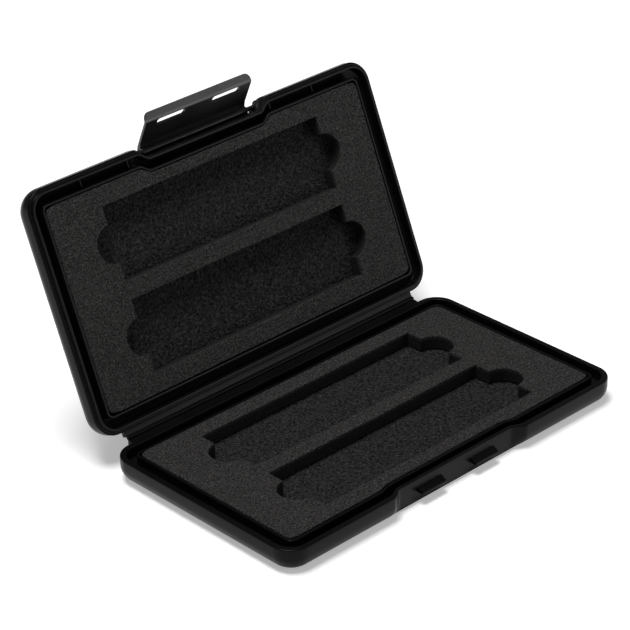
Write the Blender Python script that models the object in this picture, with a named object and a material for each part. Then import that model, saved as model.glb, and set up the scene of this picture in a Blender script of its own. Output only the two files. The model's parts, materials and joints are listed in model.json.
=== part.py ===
"""Hinged storage box for four M.2 solid-state drives, standing open.

Two shallow trays are joined along the back by a living hinge. Each tray holds a foam frame with two
drive pockets on a coarser foam pad. A flap on the lid's front edge swings on a pin, and its two slots
close over two hooks in a recess of the base.

Lengths are in metres. X runs along the hinge, -Y is the front and +Z is up. The origin is the centre
of the base's underside. Every piece is modelled where it lies when the box is shut. The lid and the
flap then hang on empties at their axes, which turn them to the open pose.
"""
import math

import bmesh
import bpy
from mathutils import Matrix, Vector

# Driving dimensions
BOX_LENGTH = 0.1282
BOX_DEPTH = 0.0710
BASE_HEIGHT = 0.0075
LID_HEIGHT = 0.0078
SHUT_GAP = 0.0009
CORNER_RADIUS = 0.0067
LID_OPEN_ANGLE = math.radians(112.5)
FLAP_OPEN_ANGLE = math.radians(47.5)

# Tray section, measured inwards from the outside and down from the rim
BASE_EDGE_RADIUS = 0.0047
LID_EDGE_RADIUS = 0.0055
RIM_WALL = 0.00185
RIM_ROUND = 0.00025
FLOOR_THICKNESS = 0.0013
BASE_CHANNEL_DEPTH = 0.0032
LID_CHANNEL_DEPTH = 0.0020
CHANNEL_FALL = 0.0012
INNER_WALL = 0.0008
INNER_WALL_DROP = 0.0001
LIP_WIDTH = 0.0009
LIP_HEIGHT = 0.0007
LEAST_RADIUS = 0.0012

# Foam
FOAM_INSET = 0.0057
FOAM_RADIUS = 0.0020
FOAM_GAP = 0.0003
BASE_POCKET_DEPTH = 0.0042
LID_POCKET_DEPTH = 0.0039
POCKET_LENGTH = 0.0810
POCKET_WEB = 0.0051
POCKET_MARGIN = 0.0054
FINGER_RADIUS = 0.0055

# Front recess for the flap, as depths behind the front face
BASE_RECESS_DEPTH = 0.0023
BASE_RECESS_HALF = 0.02145
BASE_RECESS_RUN = 0.0048
BASE_RECESS_WALL = 0.0012
LID_RECESS_DEPTH = 0.0031
LID_RECESS_HALF = 0.0208
LID_RECESS_RUN = 0.0042
LID_RECESS_LIP = 0.0010
LID_SLOPE_HEIGHT = 0.0008
BASE_INNER_JOG = 0.0011
LID_INNER_JOG = 0.0020

# Flap, as distances from its pin: outwards to the panel, and along the panel to slots and lip
PIN_RADIUS = 0.0007
PIN_CLEARANCE = 0.0002
PIN_HALF_LENGTH = 0.0250
PIN_SETBACK = 0.0023
PIN_DEPTH_IN_LID = 0.0048
BARREL_RADIUS = 0.0014
BARREL_CLEARANCE = 0.0003
FLAP_HALF_WIDTH = 0.01945
FLAP_TIP_RADIUS = 0.0025
FLAP_THICKNESS = 0.0009
FLAP_OFFSET = 0.00145
FLAP_LENGTH = 0.0122
FLAP_LEAN = math.radians(3.0)
FLAP_LIP_ANGLE = math.radians(40.0)
FLAP_ROOT_ANGLE = math.radians(17.0)
FLAP_FILLET_LENGTH = 0.0028
SLOT_START = 0.00805
SLOT_HEIGHT = 0.0021
SLOT_WIDTH = 0.0101
SLOT_SPACING = 0.0205
SLOT_RADIUS = 0.0005
SLOT_TO_LIP = 0.00005

# Hooks on the base, which sit inside the closed flap's slots
HOOK_CLEARANCE = 0.0002
HOOK_SIDE_GAP = 0.0005
HOOK_SETBACK = 0.0003
HOOK_SLOPE = math.radians(29.0)
HOOK_CHAMFER = 0.0004

# Ears on the lid, which hold the pin
EAR_RADIUS = 0.00165
EAR_START = 0.0230
EAR_WIDTH = 0.0030

# Hinge
HINGE_SETBACK = 0.0019
HINGE_END_GAP = 0.0080
FLANGE_THICKNESS = 0.0014
FLANGE_DROP = 0.00015
FLANGE_TO_AXIS = 0.0003
FLANGE_RISE = 0.0001
WEB_CLEARANCE = 0.00006

# Ribs across the lid's front channel
RIB_THICKNESS = 0.0008
RIB_DROP = 0.0010
RIB_PLACES = (0.0268, 0.0436)

# How far one solid is sunk into another before they are merged, or a cutter overruns
OVERRUN = 0.0005

# Numbers of straight steps on round stretches
CORNER_STEPS = 5
EDGE_STEPS = 5
RECESS_STEPS = 6
FINGER_STEPS = 10
SMALL_CORNER_STEPS = 3
BARREL_STEPS = 20
BORE_STEPS = 16
WEB_STEPS = 8

# Values that follow from the ones above
HALF_LENGTH = BOX_LENGTH / 2
HALF_DEPTH = BOX_DEPTH / 2
FOAM_HALF_LENGTH = HALF_LENGTH - FOAM_INSET
FOAM_HALF_DEPTH = HALF_DEPTH - FOAM_INSET
INNER_FACE = FOAM_INSET - FOAM_GAP
CHANNEL_END = INNER_FACE - INNER_WALL
LID_RIM = BASE_HEIGHT + SHUT_GAP
HINGE_AXIS = Vector((0, HALF_DEPTH + HINGE_SETBACK, BASE_HEIGHT + SHUT_GAP / 2))
PIN_AXIS = Vector((0, PIN_SETBACK - HALF_DEPTH, LID_RIM + PIN_DEPTH_IN_LID))
POCKET_WIDTH = FOAM_HALF_DEPTH - POCKET_WEB / 2 - POCKET_MARGIN
POCKET_PITCH = POCKET_WIDTH + POCKET_WEB
HINGE_HALF_LENGTH = HALF_LENGTH - HINGE_END_GAP
BARREL_POCKET = PIN_SETBACK + BARREL_RADIUS + BARREL_CLEARANCE
BARREL_POCKET_START = PIN_DEPTH_IN_LID - BARREL_RADIUS - BARREL_CLEARANCE
LIP_START = SLOT_START + SLOT_HEIGHT + SLOT_TO_LIP
FLAP_OUTER = FLAP_OFFSET + FLAP_THICKNESS
SLOT_FACE = FLAP_OFFSET * math.cos(FLAP_LEAN) - SLOT_START * math.sin(FLAP_LEAN)
SLOT_TOP = SLOT_START * math.cos(FLAP_LEAN) + FLAP_OFFSET * math.sin(FLAP_LEAN)
HOOK_TOP = SLOT_TOP + HOOK_CLEARANCE
WEB_RADIUS = math.hypot(FLANGE_TO_AXIS, SHUT_GAP / 2 - FLANGE_RISE) - WEB_CLEARANCE

# Colours as linear red, green and blue
PLASTIC_COLOUR = (0.012, 0.012, 0.013)
FLAP_COLOUR = (0.010, 0.010, 0.011)
PIN_COLOUR = (0.020, 0.020, 0.021)
FOAM_COLOUR = (0.024, 0.024, 0.023)
PAD_COLOUR = (0.016, 0.015, 0.016)


def clear_scene():
    """Remove whatever the opened file holds."""
    for thing in list(bpy.data.objects):
        bpy.data.objects.remove(thing, do_unlink=True)


def make_material(name, colour, roughness):
    """Give a plain surface finish its colour and roughness."""
    material = bpy.data.materials.new(name)
    material.use_nodes = True
    shader = material.node_tree.nodes["Principled BSDF"]
    shader.inputs["Base Color"].default_value = (*colour, 1)
    shader.inputs["Roughness"].default_value = roughness
    shader.inputs["Metallic"].default_value = 0
    return material


def make_object(name, points, faces):
    """Turn points and faces into an object whose faces point outwards."""
    mesh = bpy.data.meshes.new(name)
    mesh.from_pydata([tuple(point) for point in points], [], faces)
    shape = bmesh.new()
    shape.from_mesh(mesh)
    bmesh.ops.recalc_face_normals(shape, faces=shape.faces)
    shape.to_mesh(mesh)
    shape.free()
    thing = bpy.data.objects.new(name, mesh)
    bpy.context.collection.objects.link(thing)
    return thing


def loft(name, rings):
    """Skin closed rings of equal count, and cap the first and the last."""
    count = len(rings[0])
    points = [point for ring in rings for point in ring]
    faces = [tuple(reversed(range(count)))]
    for level in range(len(rings) - 1):
        for corner in range(count):
            following = (corner + 1) % count
            low = level * count
            high = low + count
            faces.append((low + corner, low + following, high + following, high + corner))
    faces.append(tuple(range(len(points) - count, len(points))))
    return make_object(name, points, faces)


def prism(name, outline, axis, low, high):
    """Extrude a flat outline along X, Y or Z between two places."""
    def lift(pair, along):
        coordinates = list(pair)
        coordinates.insert("XYZ".index(axis), along)
        return Vector(coordinates)

    return loft(name, [[lift(pair, along) for pair in outline] for along in (low, high)])


def merge(target, tools, operation):
    """Join or cut a solid with others, which are used up."""
    for tool in tools:
        step = target.modifiers.new(tool.name, "BOOLEAN")
        step.operation = operation
        step.object = tool
    graph = bpy.context.evaluated_depsgraph_get()
    plain = target.data
    target.data = bpy.data.meshes.new_from_object(target.evaluated_get(graph))
    target.data.name = target.name
    target.modifiers.clear()
    bpy.data.meshes.remove(plain)
    for tool in tools:
        bpy.data.objects.remove(tool, do_unlink=True)


def arc(centre, radius, start, end, steps):
    """Points along a round stretch, with both ends."""
    turns = [start + (end - start) * step / steps for step in range(steps + 1)]
    return [(centre[0] + radius * math.cos(turn), centre[1] + radius * math.sin(turn)) for turn in turns]


def circle(centre, radius, steps):
    """Points round a full circle."""
    return arc(centre, radius, 0, math.tau, steps)[:-1]


def rounded_outline(half_x, half_y, radius, steps, front_jog=0, recess_half=0, recess_run=0):
    """Rounded rectangle, anticlockwise from the front left corner.

    Where a front jog is given, the front edge steps back by that much over the recess, along a smooth
    S at each side.
    """
    inner_x = half_x - radius
    inner_y = half_y - radius
    outline = arc((-inner_x, -inner_y), radius, math.pi, 1.5 * math.pi, steps)
    if recess_run:
        sides = [step / RECESS_STEPS for step in range(RECESS_STEPS + 1)]
        blend = [(recess_half + recess_run * (1 - side), side * side * (3 - 2 * side)) for side in sides]
        outline += [(-place, front_jog * share - half_y) for place, share in blend]
        outline += [(place, front_jog * share - half_y) for place, share in reversed(blend)]
    outline += arc((inner_x, -inner_y), radius, 1.5 * math.pi, math.tau, steps)
    outline += arc((inner_x, inner_y), radius, 0, math.pi / 2, steps)
    outline += arc((-inner_x, inner_y), radius, math.pi / 2, math.pi, steps)
    return outline


def tray_ring(inset, recess, height, recess_half, recess_run):
    """One closed ring of a tray's section, inset from the outside, at a height.

    The recess is the depth behind the front face at which the ring passes the middle of the front.
    """
    radius = max(CORNER_RADIUS - inset, LEAST_RADIUS)
    outline = rounded_outline(HALF_LENGTH - inset, HALF_DEPTH - inset, radius, CORNER_STEPS,
                              max(recess - inset, 0), recess_half, recess_run)
    return [Vector((x, y, height)) for x, y in outline]


def edge_section(height, radius):
    """Insets and depths round the underside's edge, from the flat to the upright wall."""
    turns = [math.pi / 2 * step / EDGE_STEPS for step in range(EDGE_STEPS + 1)]
    return [(radius * (1 - math.sin(turn)), radius * (1 - math.cos(turn)) - height) for turn in turns]


def well_section(height, wall_recess, channel_depth, jog):
    """Insets, recess depths and depths of the channel, the inner wall and the foam's well."""
    wall_inside = CHANNEL_END + jog
    well_inside = INNER_FACE + jog
    return [
        (RIM_WALL, wall_recess, -channel_depth),
        (CHANNEL_END, wall_inside, -channel_depth - CHANNEL_FALL),
        (CHANNEL_END, wall_inside, -INNER_WALL_DROP),
        (INNER_FACE, well_inside, -INNER_WALL_DROP),
        (INNER_FACE, well_inside, FLOOR_THICKNESS - height),
    ]


def base_section():
    """The base's section from its underside over the rim to the floor of the foam's well."""
    wall_recess = BASE_RECESS_DEPTH + BASE_RECESS_WALL
    section = [(inset, BASE_RECESS_DEPTH, depth) for inset, depth in edge_section(BASE_HEIGHT, BASE_EDGE_RADIUS)]
    section += [
        (0, BASE_RECESS_DEPTH, -RIM_ROUND),
        (RIM_ROUND, BASE_RECESS_DEPTH + RIM_ROUND, 0),
        (RIM_WALL, wall_recess, 0),
    ]
    return section + well_section(BASE_HEIGHT, wall_recess, BASE_CHANNEL_DEPTH, BASE_INNER_JOG)


def lid_section():
    """The lid's section, rim up: its recess is deeper beside the barrel, and its rim has a raised lip."""
    lip_start = RIM_WALL - LIP_WIDTH
    wall_recess = LID_RECESS_DEPTH + LID_RECESS_LIP
    section = [(inset, BARREL_POCKET, depth) for inset, depth in edge_section(LID_HEIGHT, LID_EDGE_RADIUS)]
    upright = section[-1][0]
    above_pocket = [step for step in section if step[2] < -BARREL_POCKET_START]
    section = above_pocket + [
        (upright, BARREL_POCKET, -BARREL_POCKET_START),
        (upright, LID_RECESS_DEPTH, LID_SLOPE_HEIGHT - BARREL_POCKET_START),
        (0, LID_RECESS_DEPTH, -RIM_ROUND),
        (RIM_ROUND, LID_RECESS_DEPTH, 0),
        (lip_start, LID_RECESS_DEPTH, 0),
        (lip_start, LID_RECESS_DEPTH, LIP_HEIGHT),
        (RIM_WALL, wall_recess, LIP_HEIGHT),
    ]
    return section + well_section(LID_HEIGHT, wall_recess, LID_CHANNEL_DEPTH, LID_INNER_JOG)


def flange_profile(rim, side):
    """Section of a hinge flange, below a rim for side 1 and above it for side -1."""
    wall = HALF_DEPTH - RIM_WALL / 2
    tip = HINGE_AXIS.y - FLANGE_TO_AXIS
    return [
        (wall, rim - side * FLANGE_DROP),
        (wall, rim - side * (FLANGE_DROP + FLANGE_THICKNESS)),
        (tip, rim - side * (FLANGE_THICKNESS - FLANGE_RISE)),
        (tip, rim + side * FLANGE_RISE),
    ]


def make_flange(rim, side):
    """Hinge flange along a tray's back edge."""
    return prism("flange", flange_profile(rim, side), "X", -HINGE_HALF_LENGTH, HINGE_HALF_LENGTH)


def make_hook(side):
    """One catch hook, with a chamfered nose, that passes through the closed flap's slot."""
    half_width = SLOT_WIDTH / 2 - HOOK_SIDE_GAP
    centre = side * SLOT_SPACING / 2
    root = BASE_RECESS_DEPTH + BASE_RECESS_WALL / 2 - HALF_DEPTH
    nose = HOOK_SETBACK - HALF_DEPTH
    panel = PIN_AXIS.y - SLOT_FACE
    crest = PIN_AXIS.z - HOOK_TOP
    slope = math.tan(HOOK_SLOPE)
    nose_top = crest - (panel - nose) * slope
    reach = math.hypot(FLAP_OFFSET, SLOT_START + SLOT_HEIGHT) - HOOK_CLEARANCE
    bottom = PIN_AXIS.z - math.sqrt(reach ** 2 - (PIN_AXIS.y - nose) ** 2)
    profile = [
        (root, bottom),
        (root, crest + (root - panel) * slope),
        (nose + HOOK_CHAMFER / 2, nose_top),
        (nose, nose_top - HOOK_CHAMFER),
        (nose, bottom),
    ]
    return prism("hook", profile, "X", centre - half_width, centre + half_width)


def make_ear(side):
    """Round boss at one end of the lid's recess, which holds an end of the pin."""
    places = sorted((side * EAR_START, side * (EAR_START + EAR_WIDTH)))
    return prism("ear", circle(PIN_AXIS.yz, EAR_RADIUS, BARREL_STEPS), "X", *places)


def make_ear_bore(side):
    """Cutter for the pin's hole through one ear."""
    reach = PIN_HALF_LENGTH + PIN_CLEARANCE
    places = sorted((side * FLAP_HALF_WIDTH, side * reach))
    return prism("bore", circle(PIN_AXIS.yz, PIN_RADIUS + PIN_CLEARANCE, BORE_STEPS), "X", *places)


def make_rib(place):
    """Small rib across the lid's front channel."""
    front = RIM_WALL - OVERRUN - HALF_DEPTH
    back = CHANNEL_END + INNER_WALL / 2 - HALF_DEPTH
    foot = LID_RIM + LID_CHANNEL_DEPTH + CHANNEL_FALL + OVERRUN
    crest = LID_RIM + RIB_DROP
    profile = [(front, foot), (front, crest), (back, crest), (back, foot)]
    return prism("rib", profile, "X", place - RIB_THICKNESS / 2, place + RIB_THICKNESS / 2)


def make_base_shell():
    """Lower tray with its hooks and its hinge flange."""
    rings = [tray_ring(inset, recess, BASE_HEIGHT + depth, BASE_RECESS_HALF, BASE_RECESS_RUN)
             for inset, recess, depth in base_section()]
    shell = loft("base_shell", rings)
    merge(shell, [make_hook(-1), make_hook(1), make_flange(BASE_HEIGHT, 1)], "UNION")
    return shell


def make_lid_shell():
    """Upper tray, face down on the base, with its ears, ribs and hinge flange."""
    rings = [tray_ring(inset, recess, LID_RIM - depth, LID_RECESS_HALF, LID_RECESS_RUN)
             for inset, recess, depth in lid_section()]
    shell = loft("lid_shell", rings)
    ribs = [make_rib(side * place) for place in RIB_PLACES for side in (-1, 1)]
    merge(shell, [make_ear(-1), make_ear(1), make_flange(LID_RIM, -1)] + ribs, "UNION")
    merge(shell, [make_ear_bore(-1), make_ear_bore(1)], "DIFFERENCE")
    return shell


def make_hinge_web():
    """The thin line of plastic that bends, as a bead on the hinge's axis."""
    return prism("hinge_web", circle(HINGE_AXIS.yz, WEB_RADIUS, WEB_STEPS), "X",
                 -HINGE_HALF_LENGTH, HINGE_HALF_LENGTH)


def flap_profile():
    """The flap's section, panel upright: an oblique root, a flat panel, and a lip that bends outwards."""
    turn = FLAP_LIP_ANGLE
    across = BARREL_RADIUS * Vector((math.cos(FLAP_ROOT_ANGLE), -math.sin(FLAP_ROOT_ANGLE)))
    knee = across.y + (FLAP_OUTER - across.x) / math.tan(FLAP_ROOT_ANGLE)
    inside = BARREL_RADIUS * math.sin(math.pi / 4)
    crease = LIP_START + FLAP_THICKNESS * math.tan(turn / 2)
    lip_run = (FLAP_LENGTH - LIP_START - FLAP_THICKNESS * math.sin(turn)) / math.cos(turn)
    tip = Vector((FLAP_OUTER + lip_run * math.sin(turn), LIP_START + lip_run * math.cos(turn)))
    end = tip + FLAP_THICKNESS * Vector((-math.cos(turn), math.sin(turn)))
    outs_and_downs = [
        tuple(across),
        (FLAP_OUTER, knee),
        (FLAP_OUTER, LIP_START),
        tuple(tip),
        tuple(end),
        (FLAP_OFFSET, crease),
        (FLAP_OFFSET, FLAP_FILLET_LENGTH),
        (-inside, inside),
    ]
    return [(PIN_AXIS.y - out, PIN_AXIS.z - down) for out, down in outs_and_downs]


def flap_outline(bottom):
    """The flap's front view: upright sides and round tip corners."""
    top = PIN_AXIS.z + BARREL_RADIUS + OVERRUN
    tip_x = FLAP_HALF_WIDTH - FLAP_TIP_RADIUS
    tip_z = bottom + FLAP_TIP_RADIUS
    outline = [(-FLAP_HALF_WIDTH, top)]
    outline += arc((-tip_x, tip_z), FLAP_TIP_RADIUS, math.pi, 1.5 * math.pi, CORNER_STEPS)
    outline += arc((tip_x, tip_z), FLAP_TIP_RADIUS, 1.5 * math.pi, math.tau, CORNER_STEPS)
    return outline + [(FLAP_HALF_WIDTH, top)]


def make_slot(side):
    """Cutter for one of the flap's slots, with rounded corners."""
    middle = PIN_AXIS.z - SLOT_START - SLOT_HEIGHT / 2
    outline = rounded_outline(SLOT_WIDTH / 2, SLOT_HEIGHT / 2, SLOT_RADIUS, SMALL_CORNER_STEPS)
    moved = [(x + side * SLOT_SPACING / 2, z + middle) for x, z in outline]
    outer = PIN_AXIS.y - FLAP_OUTER
    return prism("slot", moved, "Y", outer - OVERRUN, outer + FLAP_THICKNESS + OVERRUN)


def make_latch():
    """Flap with its barrel, slots and bent lip, closed over the hooks with its panel leaning in."""
    reach = FLAP_HALF_WIDTH + OVERRUN
    profile = flap_profile()
    flap = prism("latch", profile, "X", -reach, reach)
    barrel = prism("barrel", circle(PIN_AXIS.yz, BARREL_RADIUS, BARREL_STEPS), "X", -reach, reach)
    merge(flap, [barrel], "UNION")
    front = -HALF_DEPTH - FLAP_LENGTH
    plan = prism("plan", flap_outline(min(z for y, z in profile)), "Y", front, 0)
    merge(flap, [plan], "INTERSECT")
    bore = prism("bore", circle(PIN_AXIS.yz, PIN_RADIUS + PIN_CLEARANCE, BORE_STEPS), "X", -reach, reach)
    merge(flap, [bore, make_slot(-1), make_slot(1)], "DIFFERENCE")
    about_pin = Matrix.Translation(PIN_AXIS)
    flap.data.transform(about_pin @ Matrix.Rotation(FLAP_LEAN, 4, "X") @ about_pin.inverted())
    return flap


def make_latch_pin():
    """Thin round bar through the flap's barrel, with its ends in the lid's ears."""
    return prism("latch_pin", circle(PIN_AXIS.yz, PIN_RADIUS, BORE_STEPS), "X",
                 -PIN_HALF_LENGTH, PIN_HALF_LENGTH)


def foam_outline(jog, recess_half, recess_run):
    """Outline of a foam layer, stepped back in front behind the recess as far as the inner wall."""
    return rounded_outline(FOAM_HALF_LENGTH, FOAM_HALF_DEPTH, FOAM_RADIUS, CORNER_STEPS,
                           jog, recess_half, recess_run)


def pocket_outline(middle):
    """A drive's pocket with a round finger notch at each end."""
    half_x = POCKET_LENGTH / 2
    half_y = POCKET_WIDTH / 2
    outline = [(-half_x, middle - half_y), (half_x, middle - half_y)]
    outline += arc((half_x, middle), FINGER_RADIUS, -math.pi / 2, math.pi / 2, FINGER_STEPS)
    outline += [(half_x, middle + half_y), (-half_x, middle + half_y)]
    return outline + arc((-half_x, middle), FINGER_RADIUS, math.pi / 2, 1.5 * math.pi, FINGER_STEPS)


def make_foam_frame(name, rim, side, depth, *recess):
    """Foam layer whose face is level with a rim, with both pockets cut right through."""
    low, high = sorted((rim, rim - side * depth))
    frame = prism(name, foam_outline(*recess), "Z", low, high)
    cutters = [prism("pocket", pocket_outline(row * POCKET_PITCH / 2), "Z", low - OVERRUN, high + OVERRUN)
               for row in (-1, 1)]
    merge(frame, cutters, "DIFFERENCE")
    return frame


def make_foam_pad(name, rim, side, depth, height, *recess):
    """Foam layer between a frame and its tray's floor."""
    upper = rim - side * (depth + FOAM_GAP)
    lower = rim - side * (height - FLOOR_THICKNESS - FOAM_GAP)
    low, high = sorted((upper, lower))
    return prism(name, foam_outline(*recess), "Z", low, high)


def make_pivot(name, place, turn, carrier=None):
    """Empty on a joint's axis that turns what hangs on it about X."""
    pivot = bpy.data.objects.new(name, None)
    bpy.context.collection.objects.link(pivot)
    pivot.parent = carrier
    pivot.location = place
    pivot.rotation_euler.x = turn
    return pivot


def hang(thing, pivot, origin):
    """Hang a piece on a pivot, keeping its place relative to that pivot's shut position."""
    thing.data.transform(Matrix.Translation(-origin))
    thing.parent = pivot


def finish(thing, material):
    """Set a piece's material, and smooth its round stretches only."""
    thing.data.materials.clear()
    thing.data.materials.append(material)
    thing.data.shade_smooth()
    thing.data.set_sharp_from_angle(angle=math.radians(30))


def main():
    """Build every piece, hang the moving ones and give each its finish."""
    clear_scene()
    base_recess = (BASE_INNER_JOG, BASE_RECESS_HALF, BASE_RECESS_RUN)
    lid_recess = (LID_INNER_JOG, LID_RECESS_HALF, LID_RECESS_RUN)
    base_shell = make_base_shell()
    base_frame = make_foam_frame("base_foam_frame", BASE_HEIGHT, 1, BASE_POCKET_DEPTH, *base_recess)
    base_pad = make_foam_pad("base_foam_pad", BASE_HEIGHT, 1, BASE_POCKET_DEPTH, BASE_HEIGHT, *base_recess)
    web = make_hinge_web()
    lid_shell = make_lid_shell()
    lid_frame = make_foam_frame("lid_foam_frame", LID_RIM, -1, LID_POCKET_DEPTH, *lid_recess)
    lid_pad = make_foam_pad("lid_foam_pad", LID_RIM, -1, LID_POCKET_DEPTH, LID_HEIGHT, *lid_recess)
    pin = make_latch_pin()
    latch = make_latch()

    lid_pivot = make_pivot("lid_pivot", HINGE_AXIS, -LID_OPEN_ANGLE)
    latch_pivot = make_pivot("latch_pivot", PIN_AXIS - HINGE_AXIS, -FLAP_OPEN_ANGLE, lid_pivot)
    for thing in (lid_shell, lid_frame, lid_pad, pin):
        hang(thing, lid_pivot, HINGE_AXIS)
    hang(latch, latch_pivot, PIN_AXIS)

    plastic = make_material("moulded_plastic", PLASTIC_COLOUR, 0.45)
    flap_plastic = make_material("latch_plastic", FLAP_COLOUR, 0.40)
    bar = make_material("pin_bar", PIN_COLOUR, 0.35)
    foam = make_material("fine_foam", FOAM_COLOUR, 0.95)
    coarse_foam = make_material("coarse_foam", PAD_COLOUR, 0.98)
    for thing in (base_shell, lid_shell, web):
        finish(thing, plastic)
    for thing in (base_frame, lid_frame):
        finish(thing, foam)
    for thing in (base_pad, lid_pad):
        finish(thing, coarse_foam)
    finish(latch, flap_plastic)
    finish(pin, bar)


main()
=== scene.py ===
# Looks of a hinged storage box for M.2 solid-state drives, built round the packed CAD frame. Every
# piece is worked out where it lies when the box is shut, and is then turned about the hinge and the
# latch pin to the open pose. Lengths are in metres, in the frame of the CAD.

import json
import math

import bmesh
import bpy
import numpy as np
from mathutils import Matrix, Vector


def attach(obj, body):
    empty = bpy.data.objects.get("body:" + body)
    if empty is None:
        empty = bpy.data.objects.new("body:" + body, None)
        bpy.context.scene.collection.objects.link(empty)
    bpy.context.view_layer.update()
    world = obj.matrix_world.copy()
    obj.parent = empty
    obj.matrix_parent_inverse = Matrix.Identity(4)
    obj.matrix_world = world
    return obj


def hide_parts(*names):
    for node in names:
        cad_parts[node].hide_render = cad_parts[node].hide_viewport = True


bl_info = {
    "name": "Drive Box",
    "version": (1, 0, 0),
    "blender": (4, 5, 0),
    "location": "3D View > Sidebar > Drive Box",
    "description": "Builds the trays, flap, pin, hinge web, foam and stage of a storage box for M.2 drives",
    "category": "Add Mesh",
}

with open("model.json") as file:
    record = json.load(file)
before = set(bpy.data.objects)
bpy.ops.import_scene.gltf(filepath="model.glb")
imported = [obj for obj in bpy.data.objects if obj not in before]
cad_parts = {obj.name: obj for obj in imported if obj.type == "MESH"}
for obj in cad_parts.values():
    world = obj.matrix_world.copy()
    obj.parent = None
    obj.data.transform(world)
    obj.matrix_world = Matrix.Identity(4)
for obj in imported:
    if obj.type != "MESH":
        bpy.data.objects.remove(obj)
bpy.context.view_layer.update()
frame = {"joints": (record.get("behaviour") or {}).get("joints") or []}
JOINTS = {joint["name"]: joint for joint in frame["joints"]}
HINGE = np.array(JOINTS["lid_hinge"]["pos_m"])
LID_TURN = -math.radians(JOINTS["lid_hinge"]["range_deg"][1])
OPEN_PIN = np.array(JOINTS["latch_hinge"]["pos_m"])
FLAP_TURN = -math.radians(JOINTS["latch_hinge"]["range_deg"][1])

# Steps along the curved parts of the surfaces.
CORNER_STEPS = 14
EDGE_STEPS = 14
RECESS_STEPS = 26
FILLET_STEPS = 5
BEND_STEPS = 6
TIP_STEPS = 9
ROUND_STEPS = 48
ROD_END_STEPS = 6
NOTCH_STEPS = 26
NOTCH_SIDE_STEPS = 7
POCKET_STEPS = 84
FACE_STEPS = 26
FOAM_EDGE_STEPS = 5
PAD_COLUMNS = 300
PAD_ROWS = 150
FLOOR_STEPS = 96

# Points nearer than this are one point, and edges sharper than these angles stay sharp.
SAME_POINT = 2e-6
SHARP = 35
FOAM_SHARP = 60
SPONGE_SHARP = 80

# Uneven surfaces as (share, width of a swelling), and the seeds of their random numbers.
FOAM_SWELLINGS = ((0.7, 0.0045), (0.3, 0.0011))
SPONGE_SWELLINGS = ((0.6, 0.0011), (0.4, 0.00055))
CUT_SWELLING = 0.0013
CUT_STRETCH = 1.7
BASE_SEED = 3
LID_SEED = 11
SPONGE_SEED_STEP = 5

# Depths of a pocket's wall at which its surface has points, as shares of the pocket's depth.
WALL_LEVELS = (1, 0.6, 0.3)

# Patterns of the finishes: scales per metre, depths in metres and the bands that hold their values.
NOISE_BAND = (0.3, 0.7)
PORE_BAND = (0.12, 0.58)
GRIT_BAND = (0.44, 0.63)
GLOSS_CLOUDS = 90
FLOW_WAVES = 260
FLOW_DEPTH = 0.00002
FOAM_CLOUDS = 140
WIRE_LINES = 900
WIRE_DEPTH = 0.00001

# Lamps as place and sides.
OVERHEAD = ((-0.2, 0.08, 1.3), (0.6, 0.5))
SOFTBOX = ((0.55, -0.68, 0.10), (0.5, 0.4))
FLOOR_RADIUS = 6
FLOOR_LEVEL = -0.0001


def size(name, description, default):
    """A length that a user may change."""
    return bpy.props.FloatProperty(name=name, description=description, default=default,
                                   min=0, precision=5, unit="LENGTH")


def turn(name, description, default):
    """An angle that a user may change, given in degrees."""
    return bpy.props.FloatProperty(name=name, description=description, default=math.radians(default),
                                   subtype="ANGLE")


def share(name, description, default, most=1):
    """A plain number from zero upwards."""
    return bpy.props.FloatProperty(name=name, description=description, default=default,
                                   min=0, max=most, precision=4)


def colour(name, description, default):
    """A linear colour."""
    return bpy.props.FloatVectorProperty(name=name, description=description, default=default,
                                         subtype="COLOR", size=3, min=0, max=1, precision=4)


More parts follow.
